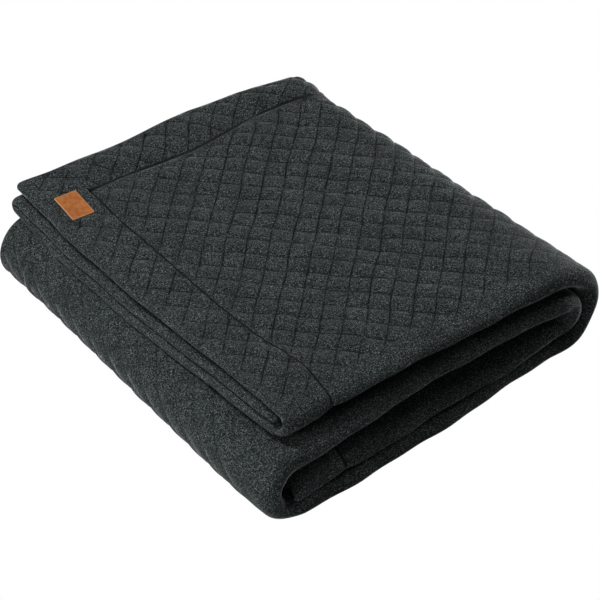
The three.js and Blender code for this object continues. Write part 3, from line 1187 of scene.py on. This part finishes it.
@dataclass(frozen=True)
class MelangeJersey:
    """Charcoal jersey of mixed light and dark fibres, quilted with a dark thread.

    Lengths are metres. A line's pair is where its shade is full and where it ends, from its middle.
    The quilting's flat lines are sewn more lightly than its steep lines.
    Its valleys beside the stitch lines are darkened with painted shade.
    """

    name: str = "charcoal_melange_jersey"
    black: Colour = (0.001, 0.0018, 0.0018)
    dark: Colour = (0.0068, 0.0095, 0.0096)
    middle: Colour = (0.019, 0.0246, 0.0247)
    grey: Colour = (0.047, 0.0573, 0.0575)
    pale: Colour = (0.168, 0.190, 0.190)
    tone_places: Floats = (0.41, 0.46, 0.50, 0.545, 0.61)
    thread: Colour = (0.0006, 0.0010, 0.0011)
    sheen: float = 0.6
    sheen_roughness: float = 0.22
    sheen_tint: Colour = (0.80, 0.85, 0.86)
    specular: float = 0.18
    least_roughness: float = 0.84
    speckle_roughness: float = 0.12
    fibre_scale: float = 1350.0
    fibre_stretch: float = 430.0
    fibre_share: float = 0.6
    fibre_shift: float = -0.05
    speckle_scale: float = 1100.0
    cloud: Patches = Patches(30.0, (0.38, 0.62), 0.22, detail=3.0)
    line_apart: float = 0.02298
    flat_line: Pair = (0.0004, 0.0014)
    flat_share: float = 0.75
    steep_line: Pair = (0.0003, 0.0013)
    # Painted shade in the valleys beside the stitches: where it is full and ends, its share on flat lines
    painted_valley_shade: Pair = (0.0, 0.0045)
    flat_painted_valley_share: float = 0.6
    seam_line: Pair = (0.0007, 0.0023)
    loop: Pair = (0.0002, 0.0008)
    drawn_stitches: Patches = Patches(170.0, (0.50, 0.30), 0.75, 0.25)
    drawn_areas: Patches = Patches(48.0, (0.60, 0.40), 0.4, 0.75)
    line_shade: float = 0.88
    painted_valley_strength: float = 0.13
    seam_shade: float = 0.95
    stitch_pitch: float = 0.0032
    rib_pitch: float = 0.0021
    crease_scale: Triple = (70.0, 170.0, 70.0)
    fibre_height: float = 1.5
    rib_height: float = 0.10
    crease_height: float = 1.4
    needle_height: float = -0.8
    loop_height: float = 0.5
    seam_loop_height: float = 0.3
    bump_distance: float = 0.0006
    bump_strength: float = 0.7

    def material(self) -> bpy.types.Material:
        """Make the material.

        Returns:
            The jersey's material.
        """
        board = NodeBoard(self.name)
        cloth = board.node("ShaderNodeTexCoord", output="Object")
        first, second, sewn = board.parts(board.mark("quilt"))
        seam, seam_run, seam_sewn = board.parts(board.mark("seam"))
        long, wide = self.fibre_stretch, self.fibre_scale
        lengthways = board.noise(board.scaled(cloth, (wide, long, wide)))
        crossways = board.noise(board.scaled(cloth, (long, wide, long)))
        speckle = board.noise(cloth, self.speckle_scale)
        fibres = lengthways.largest(crossways) * self.fibre_share + speckle * (1.0 - self.fibre_share)
        fibres = fibres + self.fibre_shift
        tones = (self.black, self.dark, self.middle, self.grey, self.pale)
        tone = board.node("ShaderNodeValToRGB", {"stops": tuple(zip(self.tone_places, tones))}, {0: fibres})
        tone = board.blend(self.cloud.on(board, cloth), tone, self.dark)
        flat, steep = (line.apart() * self.line_apart for line in (first, second))
        needle = (flat.step(*self.flat_line) * self.flat_share).largest(steep.step(*self.steep_line))
        # Painted shade: the colour darkens in the padding's valleys on both sides of the stitch lines
        painted_valley_shade = (flat.step(*self.painted_valley_shade) * self.flat_painted_valley_share).largest(steep.step(*self.painted_valley_shade))
        seam_line = seam.step(*self.seam_line) * seam_sewn
        drawn = self.drawn_stitches.on(board, cloth) * self.drawn_areas.on(board, cloth)
        # Dark thread of the stitches and seams, with the painted valley shade added to it
        quilting = needle * drawn * self.line_shade + painted_valley_shade * self.painted_valley_strength
        shade = quilting * sewn + seam_line * self.seam_shade
        board.set(Base_Color=board.blend(shade, tone, self.thread), Metallic=0.0)
        board.set(Roughness=speckle * self.speckle_roughness + self.least_roughness)
        board.set(Specular_IOR_Level=self.specular, Sheen_Weight=self.sheen)
        board.set(Sheen_Roughness=self.sheen_roughness, Sheen_Tint=self.sheen_tint)
        flat_loops = (second * self.line_apart).wave(self.stitch_pitch) * flat.step(*self.loop)
        steep_loops = (first * self.line_apart).wave(self.stitch_pitch) * steep.step(*self.loop)
        sewing = (needle * self.needle_height + flat_loops.largest(steep_loops) * self.loop_height) * sewn
        seam_sewing = seam_line * (seam_run.wave(self.stitch_pitch) * self.seam_loop_height - 1.0)
        ribs = board.parts(board.mark("cloth"))[0].wave(self.rib_pitch)
        creases = board.noise(board.scaled(cloth, self.crease_scale), detail=2.0)
        height = fibres * self.fibre_height + ribs * self.rib_height + creases * self.crease_height
        height = height + sewing + seam_sewing
        board.set(Normal=board.bump(height, self.bump_distance, self.bump_strength))
        return board.material


@dataclass(frozen=True)
class TanLeather:
    """Tan leather with a fine grain and a pale cut rim. Lengths are metres."""

    name: str = "tan_leather"
    face: Colour = (0.345, 0.118, 0.030)
    warm: Colour = (0.24, 0.073, 0.017)
    rim: Colour = (0.52, 0.28, 0.12)
    half_width: float = 0.013
    half_length: float = 0.0215
    rim_line: Pair = (0.0002, 0.0008)
    cloud: Patches = Patches(160.0, (0.35, 0.65), detail=4.0, roughness=0.6)
    pore_scale: float = 1500.0
    pore_height: float = 0.4
    grain_scale: float = 900.0
    grain_line: Pair = (0.0, 0.35)
    grain_shade: float = 0.25
    grain_height: float = 0.6
    specular: float = 0.2
    least_roughness: float = 0.5
    pore_roughness: float = 0.2
    bump_distance: float = 0.00025
    bump_strength: float = 0.6

    def material(self) -> bpy.types.Material:
        """Make the material.

        Returns:
            The leather's material.
        """
        board = NodeBoard(self.name)
        hide = board.mark("hide")
        across, along_label, _ = board.parts(hide)
        inside = (self.half_width - across.size()).smallest(self.half_length - along_label.size())
        pores = board.noise(hide, self.pore_scale, detail=2.0)
        grain = board.node("ShaderNodeTexVoronoi", None, {"Vector": hide, "Scale": self.grain_scale})
        tone = board.blend(self.cloud.on(board, hide), self.face, self.warm)
        tone = board.blend(grain.step(*self.grain_line) * self.grain_shade, tone, self.warm)
        board.set(Base_Color=board.blend(inside.step(*self.rim_line), tone, self.rim), Metallic=0.0)
        board.set(Roughness=pores * self.pore_roughness + self.least_roughness)
        board.set(Specular_IOR_Level=self.specular)
        height = grain * self.grain_height + pores * self.pore_height
        board.set(Normal=board.bump(height, self.bump_distance, self.bump_strength))
        return board.material


@dataclass(frozen=True)
class PlainSurface:
    """Plain surface of the studio: its colour and how brightly it shines by itself."""

    name: str
    colour: Colour
    glow: float = 0.0
    roughness: float = 0.9

    def material(self) -> bpy.types.Material:
        """Make the material.

        Returns:
            The surface's material.
        """
        board = NodeBoard(self.name)
        board.set(Base_Color=self.colour, Roughness=self.roughness, Specular_IOR_Level=0.0)
        board.set(Emission_Color=(1.0, 1.0, 1.0), Emission_Strength=self.glow)
        return board.material


@dataclass
class LeatherLabel:
    """The small label on the hem, bare, with rounded corners and a softly broken rim, in millimetres."""

    cloth: bpy.types.Object
    name: str = "hem_label"
    width: float = 26.0
    length: float = 43.0
    thickness: float = 1.4
    seat: float = 0.05
    turn: float = math.radians(-5.0)
    corner: float = 1.1
    corner_steps: int = 3
    rim: float = 0.3
    rim_steps: int = 2
    strips: tuple[int, int] = (8, 13)

    def build(self) -> bpy.types.Object:
        """Model the label and lay it on the hem.

        Returns:
            The label's object.
        """
        bpy.ops.object.select_all(action="DESELECT")
        bpy.ops.mesh.primitive_cube_add(size=1.0)
        label = bpy.context.active_object
        label.name = label.data.name = self.name
        label.scale = (self.width, self.length, self.thickness)
        bpy.ops.object.transform_apply(location=True, rotation=True, scale=True)
        self._bevel(label, self.corner, self.corner_steps, lambda a, b: abs(a.z - b.z) > self.thickness / 2)
        self._bevel(label, self.rim, self.rim_steps, lambda a, b: min(a.z, b.z) > self.thickness / 4)
        for axis, steps in enumerate(self.strips):
            self._slice(axis, steps)
        bpy.ops.object.mode_set(mode="OBJECT")
        self._lay(label)
        return label

    @staticmethod
    def dress(label: bpy.types.Object) -> None:
        """Give the label its finish and its place in the frame.

        Args:
            label: The label's object.
        """
        label.data.materials.append(TanLeather().material())
        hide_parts(LABEL_NODE)
        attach(label, BODY)

    @staticmethod
    def _bevel(label: bpy.types.Object, width: float, steps: int,
               wanted: Callable[[Vector, Vector], bool]) -> None:
        """Bevel the edges whose two ends pass a test.

        Args:
            label: The object, which is active.
            width: Width of the bevel.
            steps: Its segments.
            wanted: Test on the two ends of an edge.
        """
        bpy.ops.object.mode_set(mode="EDIT")
        bpy.ops.mesh.select_mode(type="EDGE")
        bpy.ops.mesh.select_all(action="DESELECT")
        bpy.ops.object.mode_set(mode="OBJECT")
        for edge in label.data.edges:
            edge.select = wanted(*(label.data.vertices[index].co for index in edge.vertices))
        bpy.ops.object.mode_set(mode="EDIT")
        bpy.ops.mesh.bevel(offset=width, segments=steps, affect="EDGES")

    def _slice(self, axis: int, steps: int) -> None:
        """Cut the label into strips so that it can follow the hem.

        Args:
            axis: The axis that the cuts stand across.
            steps: How many strips.
        """
        reach = (self.width, self.length)[axis]
        for step in range(1, steps):
            point, normal = Vector((0.0, 0.0, 0.0)), Vector((0.0, 0.0, 0.0))
            point[axis] = reach * (step / steps - 0.5)
            normal[axis] = 1.0
            bpy.ops.mesh.select_all(action="SELECT")
            bpy.ops.mesh.bisect(plane_co=point, plane_no=normal)

    def _lay(self, label: bpy.types.Object) -> None:
        """Move the flat label on to the hem and store its own coordinates.

        Args:
            label: The flat label.
        """
        middle = label_middle()
        mesh = label.data
        flat = np.empty(len(mesh.vertices) * 3, np.float32)
        mesh.vertices.foreach_get("co", flat)
        flat = flat.reshape(-1, 3).astype(float)
        mark_points(mesh, "hide", *(flat.T * MM))
        cosine, sine = math.cos(self.turn), math.sin(self.turn)
        x = middle.x + flat[:, 0] * cosine - flat[:, 1] * sine
        y = middle.y + flat[:, 0] * sine + flat[:, 1] * cosine
        z = self._seat_heights(x, y) + self.seat + self.thickness / 2 + flat[:, 2]
        mesh.vertices.foreach_set("co", (np.stack([x, y, z], -1) * MM).astype(np.float32).ravel())
        mesh.shade_smooth()
        mesh.update()

    def _seat_heights(self, x: Array, y: Array) -> Array:
        """Heights of a smooth sheet that just clears the cloth.

        Args:
            x: X of the points in plan.
            y: Y of the points in plan.

        Returns:
            Heights in millimetres.
        """
        cloth = BVHTree.FromObject(self.cloth, bpy.context.evaluated_depsgraph_get())
        down = Vector((0.0, 0.0, -1.0))
        hits = np.array([cloth.ray_cast(Vector((a * MM, b * MM, 1.0)), down)[0].z / MM for a, b in zip(x, y)])
        u, v = (x - x.mean()) / self.length, (y - y.mean()) / self.length
        terms = np.stack([np.ones_like(u), u, v, u * u, u * v, v * v], -1)
        sheet = terms @ np.linalg.lstsq(terms, hits, rcond=None)[0]
        return sheet + np.max(hits - sheet)


@dataclass(frozen=True)
class AreaLamp:
    """A soft lamp: where it stands, its side and its power."""

    name: str
    place: Triple
    side: float
    power: float


@dataclass(frozen=True)
class Studio:
    """Table, backdrop, lamps, surroundings and camera, in metres."""

    target: Triple = (-0.07322564, -0.09284546, 0.123)
    azimuth: float = math.radians(-37.12987)
    elevation: float = math.radians(40.61183)
    distance: float = 2.77955
    lens: float = 162.0
    sensor: float = 36.0
    sight: float = 100.0
    surround: float = 0.07
    room: float = 30.0
    below_table: float = 0.002
    lamps: tuple[AreaLamp, ...] = (
        AreaLamp("key_lamp", (-0.75, 0.95, 2.05), 0.8, 49.0),
        AreaLamp("left_lamp", (-0.85, -0.24, 0.32), 0.35, 3.2),
        AreaLamp("right_lamp", (2.4, -0.08, 0.55), 0.6, 58.0),
    )
    table: PlainSurface = PlainSurface("grey_table", (0.6, 0.6, 0.6))
    backdrop: PlainSurface = PlainSurface("white_backdrop", (0.0, 0.0, 0.0), 1.0)

    def build(self) -> None:
        """Set up the surfaces, the lamps, the surroundings and the camera."""
        bpy.ops.mesh.primitive_plane_add(size=self.room)
        table = self._surface(self.table)
        table.visible_camera = False
        bpy.ops.mesh.primitive_cube_add(size=self.room, location=(0.0, 0.0, self.room / 2 - self.below_table))
        backdrop = self._surface(self.backdrop)
        backdrop.visible_diffuse = backdrop.visible_glossy = backdrop.visible_shadow = False
        for lamp in self.lamps:
            self._lamp(lamp)
        self._surroundings()
        self._camera()

    @staticmethod
    def _surface(surface: PlainSurface) -> bpy.types.Object:
        """Name and finish the mesh just added.

        Args:
            surface: Its name and finish.

        Returns:
            The mesh's object.
        """
        mesh = bpy.context.active_object
        mesh.name = surface.name
        mesh.data.materials.append(surface.material())
        return mesh

    @staticmethod
    def _lamp(lamp: AreaLamp) -> None:
        """Hang a lamp that faces the blanket.

        Args:
            lamp: The lamp.
        """
        data = bpy.data.lights.new(lamp.name, "AREA")
        data.energy = lamp.power
        data.size = lamp.side
        holder = bpy.data.objects.new(lamp.name, data)
        holder.location = lamp.place
        holder.rotation_euler = (-Vector(lamp.place)).to_track_quat("-Z", "Y").to_euler()
        bpy.context.scene.collection.objects.link(holder)

    def _surroundings(self) -> None:
        """Give the scene an even pale surround."""
        world = bpy.data.worlds.new("pale_surround")
        world.use_nodes = True
        background = world.node_tree.nodes["Background"]
        background.inputs["Color"].default_value = (1.0, 1.0, 1.0, 1.0)
        background.inputs["Strength"].default_value = self.surround
        bpy.context.scene.world = world
        bpy.context.scene.view_settings.view_transform = "Standard"

    def _camera(self) -> None:
        """Put the camera at the photograph's viewing angle."""
        data = bpy.data.cameras.new("photo_camera")
        data.lens = self.lens
        data.sensor_width = self.sensor
        data.clip_end = self.sight
        camera = bpy.data.objects.new("photo_camera", data)
        flat = math.cos(self.elevation)
        across, away = math.sin(self.azimuth) * flat, -math.cos(self.azimuth) * flat
        back = Vector((across, away, math.sin(self.elevation)))
        camera.location = Vector(self.target) + back * self.distance
        camera.rotation_euler = back.to_track_quat("Z", "Y").to_euler()
        bpy.context.scene.collection.objects.link(camera)
        bpy.context.scene.camera = camera


def main() -> None:
    """Build the blanket, its label and the studio."""
    logging.basicConfig(level=logging.INFO, format="%(message)s")
    Studio().build()
    blanket = QuiltedBlanket(Winding(BANDS))
    cloth = blanket.build()
    blanket.dress(cloth)
    LOG.info("%s: %d triangles", cloth.name, len(cloth.data.polygons))
    leather = LeatherLabel(cloth)
    label = leather.build()
    leather.dress(label)
    LOG.info("%s: %d faces", label.name, len(label.data.polygons))


if __name__ == "__main__":
    main()
